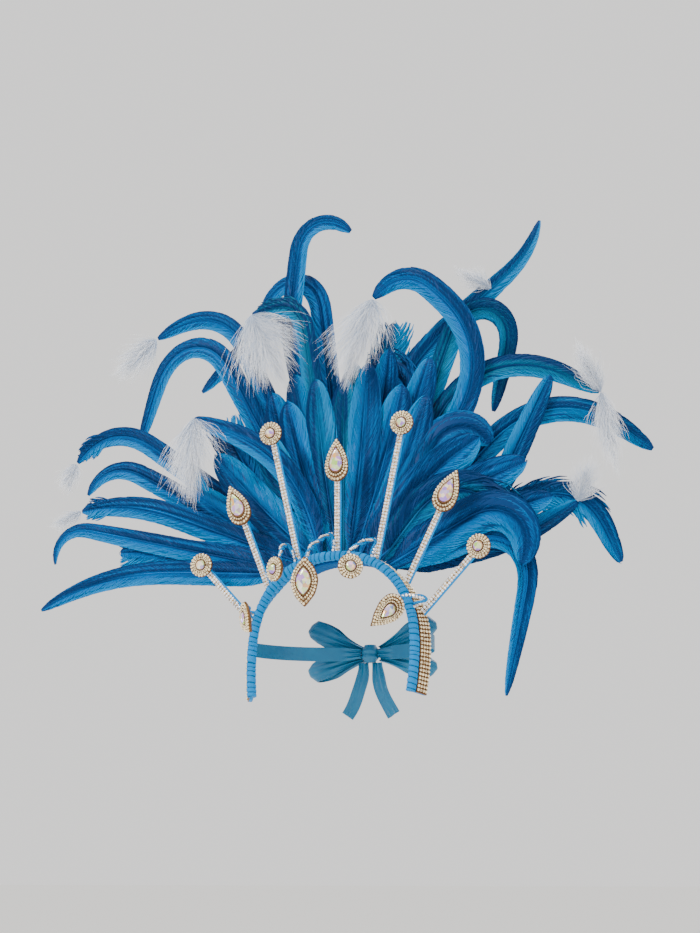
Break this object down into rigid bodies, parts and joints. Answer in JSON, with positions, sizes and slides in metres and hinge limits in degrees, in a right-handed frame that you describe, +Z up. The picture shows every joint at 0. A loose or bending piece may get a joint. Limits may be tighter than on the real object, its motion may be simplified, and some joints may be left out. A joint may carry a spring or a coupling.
{
  "type": "showgirl feather headdress",
  "caption": "Worn stage headdress: a ribbon-wrapped wire arch with jewelled rhinestone stalks, forehead jewels and a wide fan of curled blue feathers with white marabou puffs.",
  "frame": {"origin": "on the top of the wearer's head, where the middle of the arch's inner side rests", "axes": "+X to the wearer's left, which is the viewer's right from the front, -Y forward, where the wearer faces, +Z up"},
  "size_m": [0.7597, 0.2323, 0.6057],
  "materials": {
    "ribbon_blue": "ribbed satin ribbon, wrapped",
    "satin_teal": "satin ribbon",
    "feather_blue": "dyed cock feather with a silky sheen",
    "marabou_white": "downy marabou",
    "setting_metal": "pale gold plated cups with rhinestones",
    "stone_glass": "cut glass with an iridescent coating"
  },
  "bodies": {
    "root": {"arch": "ribbon_blue", "rhinestone_trim": "setting_metal", "stalk_center": "setting_metal", "stalk_inner_left": "setting_metal", "stalk_inner_right": "setting_metal", "stalk_middle_left": "setting_metal", "stalk_middle_right": "setting_metal", "stalk_outer_left": "setting_metal", "stalk_outer_right": "setting_metal", "jewel_center_setting": "setting_metal", "jewel_center_stone": "stone_glass", "jewel_inner_left_setting": "setting_metal", "jewel_inner_left_stone": "stone_glass", "jewel_inner_right_setting": "setting_metal", "jewel_inner_right_stone": "stone_glass", "jewel_middle_left_setting": "setting_metal", "jewel_middle_left_stone": "stone_glass", "jewel_middle_right_setting": "setting_metal", "jewel_middle_right_stone": "stone_glass", "jewel_outer_left_setting": "setting_metal", "jewel_outer_left_stone": "stone_glass", "jewel_outer_right_setting": "setting_metal", "jewel_outer_right_stone": "stone_glass", "arm_middle": "ribbon_blue", "arm_left": "ribbon_blue", "arm_right": "ribbon_blue", "arm_temple_left": "ribbon_blue", "arm_temple_right": "ribbon_blue", "forehead_middle_setting": "setting_metal", "forehead_middle_stone": "stone_glass", "forehead_left_setting": "setting_metal", "forehead_left_stone": "stone_glass", "forehead_right_setting": "setting_metal", "forehead_right_stone": "stone_glass", "forehead_temple_left_setting": "setting_metal", "forehead_temple_left_stone": "stone_glass", "forehead_temple_right_setting": "setting_metal", "forehead_temple_right_stone": "stone_glass", "feather_pad": "ribbon_blue", "plume_front_left": "feather_blue", "plume_front_right": "feather_blue", "plume_front_center": "feather_blue", "plume_back_center": "feather_blue", "plume_back_left": "feather_blue", "plume_back_right": "feather_blue", "puff_left_low": "marabou_white", "puff_left_tip": "marabou_white", "puff_left_fan": "marabou_white", "puff_upper_left": "marabou_white", "puff_crown_fan": "marabou_white", "puff_right_top": "marabou_white", "puff_right_curtain": "marabou_white", "puff_right_low": "marabou_white", "tie_left": "ribbon_blue", "tie_right": "ribbon_blue", "bow_knot": "satin_teal", "bow_loops_left": "satin_teal", "bow_loops_right": "satin_teal", "bow_tail_left": "satin_teal", "bow_tail_right": "satin_teal"}
  },
  "joints": []
}
